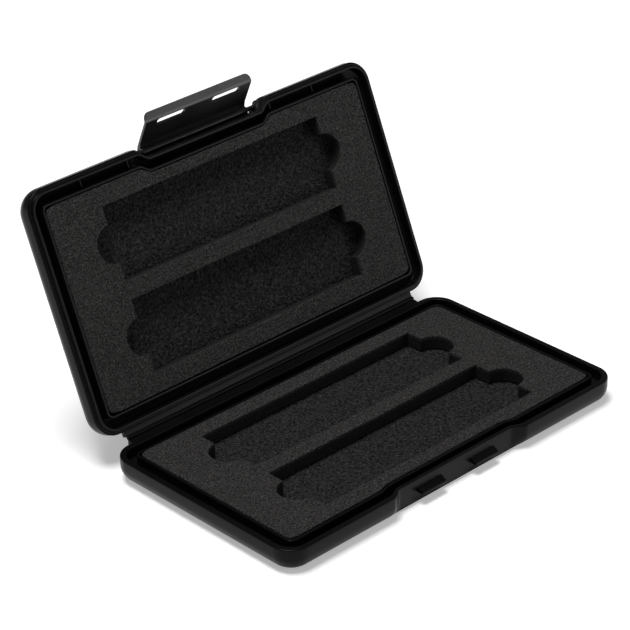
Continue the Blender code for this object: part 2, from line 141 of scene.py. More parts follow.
class DriveBoxTraySizes(bpy.types.PropertyGroup):
    """Sizes of both trays, measured inwards from the outside and down from the rim"""
    length: size("Length", "Outside length along the hinge", 0.1282)
    depth: size("Depth", "Outside depth from front to back", 0.0710)
    base_height: size("Base height", "Height of the base up to its rim", 0.0075)
    lid_height: size("Lid height", "Height of the lid up to its rim", 0.0078)
    shut_gap: size("Shut gap", "Gap between the rims of the shut box", 0.0009)
    corner: size("Corner radius", "Radius of the upright corners", 0.0067)
    least: size("Least radius", "Smallest radius of an inner corner", 0.0012)
    base_edge: size("Base edge radius", "Radius of the edge round the base's underside", 0.0047)
    lid_edge: size("Lid edge radius", "Radius of the edge round the lid's top", 0.0055)
    rim_wall: size("Rim width", "Width of the outer wall at the rim", 0.00185)
    rim_round: size("Rim rounding", "Rounding of the rim's outer edge", 0.00045)
    fine_round: size("Fine rounding", "Rounding of the small edges inside the rim", 0.00030)
    floor: size("Floor", "Thickness of the floor under the foam", 0.0013)
    base_channel: size("Base channel depth", "Depth of the base's channel beside the outer wall", 0.0032)
    lid_channel: size("Lid channel depth", "Depth of the lid's channel beside the outer wall", 0.0020)
    channel_fall: size("Channel fall", "How much deeper the channel is on its inner side", 0.0012)
    inner_wall: size("Inner wall", "Thickness of the wall round the foam", 0.0008)
    inner_drop: size("Inner wall drop", "How far the inner wall ends below the rim", 0.0001)
    inner_face: size("Inner face", "Inset of the inner wall's face towards the foam", 0.0054)
    lip_width: size("Lip width", "Width of the lid's raised lip", 0.0009)
    lip_height: size("Lip height", "Height of the lid's raised lip", 0.0007)
    base_recess: size("Base recess", "Depth of the recess in the base's front", 0.0023)
    base_recess_half: size("Base recess half width", "Half width of the level part of the base's recess",
                           0.02145)
    base_recess_run: size("Base recess run", "Width of the S at each end of the base's recess", 0.0048)
    base_recess_wall: size("Base recess wall", "Wall behind the base's recess", 0.0012)
    lid_recess: size("Lid recess", "Depth of the recess in the lid's front", 0.0031)
    lid_recess_half: size("Lid recess half width", "Half width of the level part of the lid's recess", 0.0208)
    lid_recess_run: size("Lid recess run", "Width of the S at each end of the lid's recess", 0.0042)
    lid_recess_lip: size("Lid recess lip", "Width of the lip behind the lid's recess", 0.0010)
    pocket: size("Barrel pocket", "Depth of the lid's recess beside the flap's barrel", 0.0040)
    pocket_start: size("Barrel pocket start", "Depth below the rim at which the barrel's pocket starts",
                       0.0031)
    pocket_slope: size("Barrel pocket slope", "Height of the slope from the pocket to the recess", 0.0008)
    base_jog: size("Base inner jog", "Step back of the base's inner wall behind its recess", 0.0011)
    lid_jog: size("Lid inner jog", "Step back of the lid's inner wall behind its recess", 0.0020)
    ear_radius: size("Ear radius", "Radius of the bosses that hold the pin", 0.00165)
    ear_start: size("Ear start", "Where an ear starts, from the middle", 0.0239)
    ear_width: size("Ear width", "Width of an ear", 0.0026)
    ear_round: size("Ear rounding", "Rounding of an ear's ends", 0.00036)
    rib: size("Rib thickness", "Thickness of a rib across the lid's channel", 0.0006)
    rib_drop: size("Rib drop", "How far a rib ends below the rim", 0.0021)
    rib_inner: size("Inner rib place", "Place of the inner pair of ribs", 0.0268)
    rib_outer: size("Outer rib place", "Place of the outer pair of ribs", 0.0436)


class DriveBoxFlapSizes(bpy.types.PropertyGroup):
    """Sizes of the flap, its pin and the hooks, as distances from the pin"""
    pin_radius: size("Pin radius", "Radius of the latch pin", 0.0007)
    pin_half: size("Pin half length", "Half length of the latch pin", 0.0250)
    bore: size("Bore radius", "Radius of the holes round the pin", 0.0009)
    barrel: size("Barrel radius", "Radius of the flap's barrel", 0.0014)
    half_width: size("Flap half width", "Half width of the flap", 0.01977)
    tip_radius: size("Tip radius", "Radius of the flap's tip corners", 0.0020)
    thickness: size("Flap thickness", "Thickness of the flap's panel", 0.00072)
    offset: size("Panel offset", "Distance from the pin out to the panel's inner face", 0.00101)
    reach: size("Flap length", "Distance from the pin along the panel to the tip", 0.01261)
    fillet: size("Root fillet", "Distance from the pin at which the root meets the inner face", 0.0028)
    edge_round: size("Edge rounding", "Rounding of the flap's edges", 0.00016)
    lean: turn("Panel lean", "Lean of the closed panel towards the base", 3.0)
    lip: turn("Lip angle", "Angle by which the flap's tip bends outwards", 47.5)
    root: turn("Root angle", "Angle by which the flap's root spreads outwards", 14.0)
    slot_start: size("Slot start", "Distance from the pin to a slot", 0.00825)
    slot_height: size("Slot height", "Height of a slot along the panel", 0.0021)
    slot_width: size("Slot width", "Width of a slot", 0.01025)
    slot_spacing: size("Slot spacing", "Distance between the middles of the slots", 0.0206)
    slot_corner: size("Slot corner", "Cut across a slot's corners", 0.0005)
    slot_to_lip: size("Slot to lip", "Panel between a slot and the bend of the lip", 0.00003)
    bend: size("Lip bend", "Inner radius of the bend between panel and lip", 0.0003)
    hook_clearance: size("Hook clearance", "Clearance of a hook in its slot", 0.0002)
    hook_side_gap: size("Hook side gap", "Gap between a hook and its slot's ends", 0.00055)
    hook_slope: turn("Hook slope", "Fall of a hook's top towards its nose", 29.0)
    hook_setback: size("Hook setback", "How far a hook's nose stays behind the front", 0.0003)
    hook_round: size("Hook rounding", "Rounding of a hook's edges", 0.00018)


class DriveBoxHingeSizes(bpy.types.PropertyGroup):
    """Sizes of the living hinge"""
    half_length: size("Hinge half length", "Half length of the flanges and the web", 0.0561)
    thickness: size("Flange thickness", "Thickness of a hinge flange", 0.0014)
    drop: size("Flange drop", "How far a flange starts below its rim", 0.00015)
    to_axis: size("Flange to axis", "How far a flange ends before the hinge's axis", 0.0003)
    rise: size("Flange rise", "How far a flange's tip rises over its rim", 0.0001)
    web: size("Web radius", "Radius of the bending web", 0.00056)
    rounding: size("Flange rounding", "Rounding of a flange's edges", 0.00015)


class DriveBoxFoamSizes(bpy.types.PropertyGroup):
    """Sizes of the foam layers"""
    inset: size("Foam inset", "Distance from the box's outside to the foam", 0.0057)
    corner: size("Foam corner", "Radius of the foam's corners", 0.0020)
    gap: size("Foam gap", "Gap between the foam layers and round them", 0.0003)
    base_pocket: size("Base pocket depth", "Depth of the base's drive pockets", 0.0042)
    lid_pocket: size("Lid pocket depth", "Depth of the lid's drive pockets", 0.0039)
    pocket_length: size("Pocket length", "Length of a drive pocket", 0.0810)
    pocket_width: size("Pocket width", "Width of a drive pocket", 0.02185)
    pocket_web: size("Pocket web", "Foam between the two pockets", 0.0051)
    finger: size("Finger notch", "Radius of the notches at a pocket's ends", 0.0055)
    edge: size("Foam edge", "Rounding of the cut edges", 0.00028)
    swell: size("Surface unevenness", "Height of the uneven places on the fine foam", 0.00005)
    coarse: size("Sponge unevenness", "Height of the pores of the coarse foam", 0.00013)


class DriveBoxFinishes(bpy.types.PropertyGroup):
    """Colours and gloss of the finishes"""
    plastic: colour("Shell plastic", "Colour of the trays", (0.0032, 0.0032, 0.0034))
    plastic_rough: share("Shell roughness", "Roughness of the trays", 0.27)
    flap: colour("Flap plastic", "Colour of the flap", (0.0024, 0.0024, 0.0026))
    flap_rough: share("Flap roughness", "Roughness of the flap", 0.32)
    plastic_gloss: share("Shell gloss", "Specular level of the trays", 0.09)
    flap_gloss: share("Flap gloss", "Specular level of the flap", 0.7)
    pin: colour("Pin", "Colour of the pin", (0.008, 0.008, 0.0085))
    fine_foam: colour("Fine foam", "Colour of the cut-out foam layers", (0.0338, 0.0325, 0.0318))
    coarse_foam: colour("Coarse foam", "Colour of the pockets' floor", (0.0188, 0.0179, 0.0184))
    grain: size("Grain", "Width of the moulded grain", 0.00016)
    cell: size("Foam cell", "Width of the fine foam's cells", 0.00060)
    pore: size("Sponge pore", "Width of the coarse foam's pores", 0.00095)


class DriveBoxStage(bpy.types.PropertyGroup):
    """Camera, floor and light"""
    azimuth: turn("Azimuth", "Direction of the camera round the box", -43.554)
    elevation: turn("Elevation", "Height of the camera over the horizon", 28.862)
    roll: turn("Roll", "Roll of the camera", -1.138)
    distance: size("Distance", "Distance from the camera to its target", 0.78983)
    target: bpy.props.FloatVectorProperty(name="Target", description="Point that the camera looks at",
                                          default=(0.02890, 0.05138, 0.0075), subtype="TRANSLATION",
                                          unit="LENGTH", precision=5)
    lens: share("Lens", "Focal length in millimetres on a 36 mm sensor", 152.53, 500)
    floor: colour("Floor", "Colour of the floor", (0.86, 0.86, 0.86))
    glow: share("Floor glow", "Light that the floor shows by itself, so that it looks white", 0.37)
    sky: share("Sky", "Strength of the light from all round", 0.13, 10)
    side: share("Side light", "Power of the low softbox at the front right in watts", 1.6, 1000)
    key: share("Key light", "Power of the lamp overhead in watts", 15.5, 1000)


GROUPS = {
    "drive_box_tray": DriveBoxTraySizes,
    "drive_box_flap": DriveBoxFlapSizes,
    "drive_box_hinge": DriveBoxHingeSizes,
    "drive_box_foam": DriveBoxFoamSizes,
    "drive_box_finish": DriveBoxFinishes,
    "drive_box_stage": DriveBoxStage,
}


# Shapes as arrays


def turned(points, centre, angle):
    """Points turned about a line along X through a centre: y' = y cos - z sin, z' = y sin + z cos."""
    y = points[..., 1] - centre[1]
    z = points[..., 2] - centre[2]
    return np.stack([
        points[..., 0],
        centre[1] + y * math.cos(angle) - z * math.sin(angle),
        centre[2] + y * math.sin(angle) + z * math.cos(angle),
    ], -1)


SHUT_PIN = turned(OPEN_PIN, HINGE, -LID_TURN)


def on_lid(points):
    """Points of the shut lid, turned about the hinge to the open pose."""
    return turned(points, HINGE, LID_TURN)


def on_flap(points):
    """Points of the closed flap, turned about the pin and then with the lid."""
    return on_lid(turned(points, SHUT_PIN, FLAP_TURN))


def softened(profile, reach, steps=FILLET_STEPS):
    """A line of points whose inner corners are rounded.

    Corner C gives way to (1-t)^2 A + 2 t (1-t) C + t^2 B, where A and B lie on its two edges at the
    given reach, or halfway along a shorter edge.
    """
    corner = profile[1:-1]

    def along(neighbour):
        gap = neighbour - corner
        length = np.maximum(np.linalg.norm(gap, axis=1, keepdims=True), 1e-9)
        return corner + gap * np.minimum(np.reshape(reach, (-1, 1)) / length, 0.49)

    start = along(profile[:-2])[:, None]
    end = along(profile[2:])[:, None]
    t = np.linspace(0, 1, steps + 1)[None, :, None]
    curve = (1 - t) ** 2 * start + 2 * t * (1 - t) * corner[:, None] + t ** 2 * end
    return np.concatenate([profile[:1], curve.reshape(-1, profile.shape[1]), profile[-1:]])


def grid_faces(rows, columns, round_rows=False, round_columns=True):
    """Corner numbers of the four-sided faces between neighbouring points of a grid."""
    row = np.arange(rows if round_rows else rows - 1)[:, None]
    column = np.arange(columns if round_columns else columns - 1)[None]
    next_row = (row + 1) % rows
    next_column = (column + 1) % columns
    corners = [row * columns + column, row * columns + next_column,
               next_row * columns + next_column, next_row * columns + column]
    return np.stack([np.broadcast_to(c, (row.size, column.size)) for c in corners], -1)


def smoothstep(value):
    """3 v^2 - 2 v^3 between 0 and 1."""
    value = np.clip(value, 0, 1)
    return value * value * (3 - 2 * value)


def layered(x, y, swellings, seed):
    """Sum of share times uneven heights, for swellings of several widths."""
    return sum(part * uneven(x, y, width, seed + number) for number, (part, width) in enumerate(swellings))


def uneven(x, y, cell, seed):
    """Smooth random heights from -1 to 1: numbers on a square lattice, blended between its points."""
    table = np.random.default_rng(seed).uniform(-1, 1, (256, 256))
    u = x / cell
    v = y / cell
    i = np.floor(u).astype(int)
    j = np.floor(v).astype(int)
    s = smoothstep(u - i)
    t = smoothstep(v - j)
    low = table[i % 256, j % 256] * (1 - s) + table[(i + 1) % 256, j % 256] * s
    high = table[i % 256, (j + 1) % 256] * (1 - s) + table[(i + 1) % 256, (j + 1) % 256] * s
    return low * (1 - t) + high * t


def make_piece(name, points, faces, sharp=SHARP):
    """Put points and faces into a closed mesh, with faces outwards and only round stretches smooth."""
    mesh = bpy.data.meshes.new(name)
    faces = [face if isinstance(face, list) else face.tolist() for face in faces]
    mesh.from_pydata(points.reshape(-1, 3).tolist(), [], faces)
    shape = bmesh.new()
    shape.from_mesh(mesh)
    bmesh.ops.remove_doubles(shape, verts=shape.verts, dist=SAME_POINT)
    bmesh.ops.dissolve_degenerate(shape, edges=shape.edges, dist=SAME_POINT / 2)
    bmesh.ops.recalc_face_normals(shape, faces=shape.faces)
    shape.to_mesh(mesh)
    shape.free()
    mesh.shade_smooth()
    mesh.set_sharp_from_angle(angle=math.radians(sharp))
    thing = bpy.data.objects.new(name, mesh)
    bpy.context.scene.collection.objects.link(thing)
    return thing


def capped_rings(name, rings):
    """Skin between closed rings, with a flat cap on the first and the last."""
    count = rings.shape[1]
    faces = list(grid_faces(rings.shape[0], count).reshape(-1, 4))
    last = (rings.shape[0] - 1) * count
    faces.append(list(range(count))[::-1])
    faces.append(list(range(last, last + count)))
    return make_piece(name, rings, faces)


def carried_profile(name, profile, places):
    """A closed flat profile of (y, z) carried along X through the given places."""
    places = np.asarray(places)
    rings = np.empty((len(places), len(profile), 3))
    rings[..., 0] = places[:, None]
    rings[..., 1:] = profile[None]
    return capped_rings(name, rings)


def lathed(centre, profile):
    """Rings of a profile of (x, radius) turned round a line along X through a centre."""
    angle = np.linspace(0, math.tau, ROUND_STEPS, endpoint=False)
    rings = np.empty((len(profile), ROUND_STEPS, 3))
    rings[..., 0] = profile[:, :1]
    rings[..., 1] = centre[1] + profile[:, 1:] * np.cos(angle)
    rings[..., 2] = centre[2] + profile[:, 1:] * np.sin(angle)
    return rings


def tube(name, start, end, bore, radius, rounding):
    """A tube round the pin of the shut box: its section's four corners, rounded, turned about the pin."""
    corners = np.array([(start, bore), (start, radius), (end, radius), (end, bore)])
    rings = lathed(SHUT_PIN, closed_corners(corners, rounding))
    faces = grid_faces(rings.shape[0], rings.shape[1], round_rows=True).reshape(-1, 4)
    return make_piece(name, rings, list(faces))


def round_edges(thing, width, angle=40):
    """Round the edges of a piece with a bevel."""
    step = thing.modifiers.new("rounding", "BEVEL")
    step.width = width
    step.segments = 3
    step.limit_method = "ANGLE"
    step.angle_limit = math.radians(angle)
    step.harden_normals = False
    step.use_clamp_overlap = True


# Trays


def tray_outline(tray, inset, recess, recess_half, recess_run):
    """Rounded rectangles that shrink by an inset, with a recess in the front edge.

    The corners are quarter circles. The front edge goes back by (recess - inset) (3 s^2 - 2 s^3), s
    running from 0 outside the recess to 1 inside it over the width of the S.
    """
    inset = inset[:, None]
    half_x = tray.length / 2 - inset
    half_y = tray.depth / 2 - inset
    radius = np.maximum(tray.corner - inset, tray.least)
    quarter = np.linspace(0, math.pi / 2, CORNER_STEPS + 1)[None]

    def corner(sign_x, sign_y, start):
        x = sign_x * (half_x - radius) + radius * np.cos(start + quarter)
        y = sign_y * (half_y - radius) + radius * np.sin(start + quarter)
        return np.stack([x, y], -1)

    side = np.linspace(0, 1, RECESS_STEPS + 1)[None]
    y = np.maximum(recess[:, None] - inset, 0) * smoothstep(side) - half_y
    x = np.broadcast_to(recess_half + recess_run * (1 - side), y.shape)
    return np.concatenate([
        corner(-1, -1, math.pi),
        np.stack([-x, y], -1),
        np.stack([x, y], -1)[:, ::-1],
        corner(1, -1, 1.5 * math.pi),
        corner(1, 1, 0),
        corner(-1, 1, math.pi / 2),
    ], 1)


def edge_section(height, radius, recess):
    """Quarter circle from the flat underside up to the outer wall, as (inset, recess, depth)."""
    angle = np.linspace(0, math.pi / 2, EDGE_STEPS + 1)
    inset = radius * (1 - np.sin(angle))
    depth = radius * (1 - np.cos(angle)) - height
    return np.stack([inset, np.full_like(inset, recess), depth], -1)


def well_corners(tray, wall_recess, height, channel, jog):
    """Corners of the channel, the inner wall and the foam's well, with their roundings."""
    channel_end = tray.inner_face - tray.inner_wall
    wall_inside = channel_end + jog
    well_inside = tray.inner_face + jog
    fine = tray.fine_round
    return [
        ((tray.rim_wall, wall_recess, -channel), 2 * fine),
        ((channel_end, wall_inside, -channel - tray.channel_fall), 2 * fine),
        ((channel_end, wall_inside, -tray.inner_drop), fine),
        ((tray.inner_face, well_inside, -tray.inner_drop), fine),
        ((tray.inner_face, well_inside, tray.floor - height), fine),
    ]


def tray_section(edge, corners):
    """The underside's edge followed by the corners inside the rim, each rounded."""
    line = np.array([corner for corner, reach in corners])
    reach = np.array([reach for corner, reach in corners[:-1]])
    return np.concatenate([edge[:-1], softened(np.concatenate([edge[-1:], line]), reach)])


def tray_rings(tray, section, rim, side, recess_half, recess_run):
    """Closed rings of a tray: for each (inset, recess, depth) its outline at that depth from the rim."""
    outline = tray_outline(tray, section[:, 0], section[:, 1], recess_half, recess_run)
    height = np.broadcast_to((rim + side * section[:, 2])[:, None, None], outline.shape[:2] + (1,))
    return np.concatenate([outline, height], -1)


def base_rings(tray):
    """Rings of the base, from its underside over the rim to the floor of the foam's well."""
    recess = tray.base_recess
    wall_recess = recess + tray.base_recess_wall
    corners = [
        ((0, recess, 0), tray.rim_round),
        ((tray.rim_wall, wall_recess, 0), tray.fine_round),
    ] + well_corners(tray, wall_recess, tray.base_height, tray.base_channel, tray.base_jog)
    section = tray_section(edge_section(tray.base_height, tray.base_edge, recess), corners)
    return tray_rings(tray, section, tray.base_height, 1, tray.base_recess_half, tray.base_recess_run)


def lid_rings(tray):
    """Rings of the lid, face down: the recess is deeper beside the barrel, and the rim has a raised lip."""
    edge = edge_section(tray.lid_height, tray.lid_edge, tray.pocket)
    slope_end = tray.pocket_slope - tray.pocket_start
    edge[:, 1] = np.interp(edge[:, 2], [-tray.pocket_start, slope_end], [tray.pocket, tray.lid_recess])
    lip_start = tray.rim_wall - tray.lip_width
    wall_recess = tray.lid_recess + tray.lid_recess_lip
    fine = tray.fine_round
    corners = [
        ((0, tray.lid_recess, 0), tray.rim_round),
        ((lip_start, tray.lid_recess, 0), fine / 2),
        ((lip_start, tray.lid_recess, tray.lip_height), fine),
        ((tray.rim_wall, wall_recess, tray.lip_height), fine),
    ] + well_corners(tray, wall_recess, tray.lid_height, tray.lid_channel, tray.lid_jog)
    section = tray_section(edge, corners)
    rim = tray.base_height + tray.shut_gap
    return tray_rings(tray, section, rim, -1, tray.lid_recess_half, tray.lid_recess_run)


def flange_profile(tray, hinge, rim, side):
    """Section of a hinge flange, below its rim for side 1 and above it for side -1."""
    wall = tray.depth / 2 - tray.rim_wall / 2
    tip = HINGE[1] - hinge.to_axis
    return np.array([
        (wall, rim - side * hinge.drop),
        (wall, rim - side * (hinge.drop + hinge.thickness)),
        (tip, rim - side * (hinge.thickness - hinge.rise)),
        (tip, rim + side * hinge.rise),
    ])


def closed_corners(profile, reach, steps=FILLET_STEPS):
    """A closed line with every corner rounded."""
    looped = np.concatenate([profile[-1:], profile, profile[:1]])
    return softened(looped, np.full(len(profile), reach), steps)[1:-1]


# Finishes


class Recipe:
    """Short way to write a material's nodes."""

    def __init__(self, name):
        self.material = bpy.data.materials.new(name)
        self.material.use_nodes = True
        self.tree = self.material.node_tree
        self.shader = self.tree.nodes["Principled BSDF"]
        self.place = self.tree.nodes.new("ShaderNodeTexCoord").outputs["Object"]

    def node(self, kind):
        """Add a node."""
        return self.tree.nodes.new(kind)

    def feed(self, socket, source):
        """Link an output to an input, or set the input's value."""
        if isinstance(source, bpy.types.NodeSocket):
            self.tree.links.new(source, socket)
        else:
            socket.default_value = source

    def noise(self, scale, detail=2, rough=0.5, stretch=(1, 1, 1)):
        """Cloudy noise in Object coordinates."""
        mapping = self.node("ShaderNodeMapping")
        self.feed(mapping.inputs["Vector"], self.place)
        mapping.inputs["Scale"].default_value = stretch
        made = self.node("ShaderNodeTexNoise")
        self.feed(made.inputs["Vector"], mapping.outputs["Vector"])
        made.inputs["Scale"].default_value = scale
        made.inputs["Detail"].default_value = detail
        made.inputs["Roughness"].default_value = rough
        return made.outputs["Fac"]

    def cells(self, scale):
        """Distance to the nearest cell centre in Object coordinates."""
        made = self.node("ShaderNodeTexVoronoi")
        self.feed(made.inputs["Vector"], self.place)
        made.inputs["Scale"].default_value = scale
        return made.outputs["Distance"]

    def spread(self, source, band, to_low=0, to_high=1):
        """Carry a band of values over to another range."""
        made = self.node("ShaderNodeMapRange")
        self.feed(made.inputs["Value"], source)
        ranges = {"From Min": band[0], "From Max": band[1], "To Min": to_low, "To Max": to_high}
        for key, value in ranges.items():
            made.inputs[key].default_value = value
        return made.outputs["Result"]

    def blend(self, share_source, one, two):
        """Mix two colours."""
        made = self.node("ShaderNodeMix")
        made.data_type = "RGBA"
        self.feed(made.inputs[0], share_source)
        for socket, value in ((made.inputs[6], one), (made.inputs[7], two)):
            self.feed(socket, value if isinstance(value, bpy.types.NodeSocket) else (*value, 1))
        return made.outputs[2]

    def relief(self, source, depth, under=None):
        """Small relief on the surface, on top of another relief if there is one."""
        made = self.node("ShaderNodeBump")
        made.inputs["Strength"].default_value = 1
        made.inputs["Distance"].default_value = depth
        self.feed(made.inputs["Height"], source)
        if under is not None:
            self.feed(made.inputs["Normal"], under)
        return made.outputs["Normal"]


def scaled(tint, factor):
    """A colour made lighter or darker."""
    return tuple(value * factor for value in tint)


def moulded_plastic(name, tint, rough, grain, specular):
    """Satin black moulding: fine spark-eroded grain, faint flow clouds and slightly uneven gloss."""
    recipe = Recipe(name)
    clouds = recipe.noise(GLOSS_CLOUDS, 3)
    fine = recipe.noise(1 / grain, 2, 0.6)
    recipe.feed(recipe.shader.inputs["Base Color"],
                recipe.blend(recipe.spread(clouds, NOISE_BAND), scaled(tint, 0.85), scaled(tint, 1.2)))
    recipe.feed(recipe.shader.inputs["Roughness"],
                recipe.spread(clouds, NOISE_BAND, 0.9 * rough, 1.12 * rough))
    recipe.shader.inputs["Specular IOR Level"].default_value = specular
    recipe.feed(recipe.shader.inputs["Normal"],
                recipe.relief(fine, grain * 0.06, recipe.relief(recipe.noise(FLOW_WAVES, 2), FLOW_DEPTH)))
    return recipe.material


def cut_foam(name, tint, cell, coarse):
    """Open-celled foam: dark pores between lighter struts, with grit of two sizes under cloudy tones.

    Each pattern runs from a share of the tint to more than it, wider for the coarse sponge. Where the
    attribute "cut" is 1, on the walls below the rounded edge, shade is painted: the foam is darker there.
    """
    recipe = Recipe(name)
    pores = recipe.spread(recipe.cells(1 / cell), PORE_BAND)
    grit = recipe.spread(recipe.noise(1.3 / cell, 2, 0.8), GRIT_BAND)
    clouds = recipe.spread(recipe.noise(FOAM_CLOUDS, 3), NOISE_BAND)
    light_strut = 1.8 + 0.3 * coarse
    light_grit = 2.7 + 0.6 * coarse
    tone = recipe.blend(pores, scaled(tint, 0.15), scaled(tint, light_strut))
    speck = recipe.blend(grit, scaled(tint, 0.05), scaled(tint, light_grit))
    mixed = recipe.blend(0.6, tone, speck)
    lit = recipe.blend(clouds, scaled(tint, 0.9), scaled(tint, 1.1))
    face = recipe.blend(0.08, mixed, lit)
    # Painted shade on the walls: where the attribute is 1, the colour falls to 0.55 of the tint.
    cut = recipe.node("ShaderNodeAttribute")
    cut.attribute_name = "cut"
    recipe.feed(recipe.shader.inputs["Base Color"],
                recipe.blend(cut.outputs["Fac"], face, scaled(tint, 0.55)))
    recipe.shader.inputs["Roughness"].default_value = 0.95
    recipe.shader.inputs["Specular IOR Level"].default_value = 0.1
    recipe.feed(recipe.shader.inputs["Normal"],
                recipe.relief(grit, cell * 0.3, recipe.relief(pores, cell * 0.35)))
    return recipe.material


def black_steel(name, tint):
    """Blackened wire: fine lines along its length and a soft sheen."""
    recipe = Recipe(name)
    lines = recipe.noise(WIRE_LINES, 3, 0.6, (0.05, 1, 1))
    recipe.feed(recipe.shader.inputs["Base Color"],
                recipe.blend(recipe.spread(lines, NOISE_BAND), scaled(tint, 0.7), scaled(tint, 1.3)))
    recipe.feed(recipe.shader.inputs["Roughness"], recipe.spread(lines, NOISE_BAND, 0.32, 0.46))
    recipe.feed(recipe.shader.inputs["Normal"], recipe.relief(lines, WIRE_DEPTH))
    return recipe.material


def finish(thing, material, body):
    """Give a piece its material and its body."""
    thing.data.materials.clear()
    thing.data.materials.append(material)
    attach(thing, body)


def shared_material(key):
    """One of the box's materials, made when it is first asked for."""
    if key in bpy.data.materials:
        return bpy.data.materials[key]
    finishes = bpy.context.scene.drive_box_finish
    if key == "shell_satin":
        return moulded_plastic(key, finishes.plastic, finishes.plastic_rough, finishes.grain,
                               finishes.plastic_gloss)
    if key == "flap_satin":
        return moulded_plastic(key, finishes.flap, finishes.flap_rough, finishes.grain,
                               finishes.flap_gloss)
    if key == "wire_black":
        return black_steel(key, finishes.pin)
    if key == "foam_fine":
        return cut_foam(key, finishes.fine_foam, finishes.cell, 0)
    return cut_foam(key, finishes.coarse_foam, finishes.pore, 1)


# Operators for the plastic and steel pieces


class DRIVEBOX_OT_base_tray(bpy.types.Operator):
    """Build the base with its hooks and its hinge flange"""
    bl_idname = "drive_box.base_tray"
    bl_label = "Base tray"

    def execute(self, context):
        tray = context.scene.drive_box_tray
        hinge = context.scene.drive_box_hinge
        flap = context.scene.drive_box_flap
        plastic = shared_material("shell_satin")
        shell = capped_rings("base_tray", base_rings(tray))
        finish(shell, plastic, "base")
        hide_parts("base_shell")
        profile = closed_corners(flange_profile(tray, hinge, tray.base_height, 1), hinge.rounding)
        flange = carried_profile("base_hinge_flange", profile, (-hinge.half_length, hinge.half_length))
        finish(flange, plastic, "base")
        for label, side in (("left", -1), ("right", 1)):
            profile, places = hook_shape(tray, flap, side)
            hook = carried_profile("base_hook_" + label, profile, places)
            round_edges(hook, flap.hook_round)
            finish(hook, plastic, "base")
        return {"FINISHED"}


def hook_shape(tray, flap, side):
    """Section of a hook, whose top falls towards its nose, and the two places between which it runs.

    The bottom lies where a slot's lower edge, which swings about the pin, stays clear of the nose.
    """
    half_width = flap.slot_width / 2 - flap.hook_side_gap
    centre = side * flap.slot_spacing / 2
    root = tray.base_recess + tray.base_recess_wall / 2 - tray.depth / 2
    nose = flap.hook_setback - tray.depth / 2
    panel = SHUT_PIN[1] - flap.offset * math.cos(flap.lean) + flap.slot_start * math.sin(flap.lean)
    slot_top = flap.slot_start * math.cos(flap.lean) + flap.offset * math.sin(flap.lean)
    crest = SHUT_PIN[2] - slot_top - flap.hook_clearance
    slope = math.tan(flap.hook_slope)
    nose_top = crest - (panel - nose) * slope
    reach = math.hypot(flap.offset, flap.slot_start + flap.slot_height) - flap.hook_clearance
    bottom = SHUT_PIN[2] - math.sqrt(reach ** 2 - (SHUT_PIN[1] - nose) ** 2)
    chamfer = 2 * flap.hook_round
    profile = np.array([
        (root, bottom),
        (root, crest + (root - panel) * slope),
        (nose + chamfer / 2, nose_top),
        (nose, nose_top - chamfer),
        (nose, bottom),
    ])
    return profile, (centre - half_width, centre + half_width)


class DRIVEBOX_OT_lid_tray(bpy.types.Operator):
    """Build the lid with its ears, ribs and hinge flange"""
    bl_idname = "drive_box.lid_tray"
    bl_label = "Lid tray"

    def execute(self, context):
        tray = context.scene.drive_box_tray
        hinge = context.scene.drive_box_hinge
        flap = context.scene.drive_box_flap
        plastic = shared_material("shell_satin")
        rim = tray.base_height + tray.shut_gap
        shell = capped_rings("lid_tray", on_lid(lid_rings(tray)))
        finish(shell, plastic, "lid")
        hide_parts("lid_shell")
        profile = closed_corners(flange_profile(tray, hinge, rim, -1), hinge.rounding)
        flange = carried_profile("lid_hinge_flange", profile, (-hinge.half_length, hinge.half_length))
        self.settle(flange, plastic)
        for label, side in (("left", -1), ("right", 1)):
            start, end = side * tray.ear_start, side * (tray.ear_start + tray.ear_width)
            ear = tube("lid_ear_" + label, start, end, flap.bore, tray.ear_radius, tray.ear_round)
            self.settle(ear, plastic)
            for number, place in (("1", tray.rib_inner), ("2", tray.rib_outer)):
                rib = self.rib("lid_rib_%s_%s" % (label, number), tray, rim, side * place)
                round_edges(rib, tray.fine_round / 2)
                self.settle(rib, plastic)
        return {"FINISHED"}

    def settle(self, thing, plastic):
        """Turn a piece of the shut lid to the open pose and finish it."""
        place_mesh(thing, on_lid)
        finish(thing, plastic, "lid")

    def rib(self, name, tray, rim, place):
        """A small upright plate across the channel."""
        front = tray.rim_wall - tray.fine_round - tray.depth / 2
        back = tray.inner_face - tray.inner_wall / 2 - tray.depth / 2
        foot = rim + tray.lid_channel + tray.channel_fall + tray.fine_round
        crest = rim + tray.rib_drop
        profile = np.array([(front, foot), (front, crest), (back, crest), (back, foot)])
        return carried_profile(name, profile, (place - tray.rib / 2, place + tray.rib / 2))


def place_mesh(thing, mover):
    """Move the points of a mesh with a function of arrays."""
    mesh = thing.data
    points = np.empty(len(mesh.vertices) * 3)
    mesh.vertices.foreach_get("co", points)
    mesh.vertices.foreach_set("co", mover(points.reshape(-1, 3)).ravel())
    mesh.update()


class DRIVEBOX_OT_hinge_web(bpy.types.Operator):
    """Build the thin web on the hinge's axis"""
    bl_idname = "drive_box.hinge_web"
    bl_label = "Hinge web"

    def execute(self, context):
        hinge = context.scene.drive_box_hinge
        web = capped_rod("hinge_bead", HINGE, hinge.web, hinge.half_length)
        finish(web, shared_material("shell_satin"), "base")
        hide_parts("hinge_web")
        return {"FINISHED"}


def capped_rod(name, centre, radius, half_length):
    """A rod along X with domed ends: radius (1 - 0.9 (1 - s)^2)^0.5 over half a radius at each end."""
    step = np.linspace(0, 1, ROD_END_STEPS)
    x = np.concatenate([-half_length + radius / 2 * step, half_length - radius / 2 * step[::-1]])
    across = radius * np.sqrt(1 - 0.9 * (1 - step) ** 2)
    return capped_rings(name, lathed(centre, np.stack([x, np.concatenate([across, across[::-1]])], -1)))


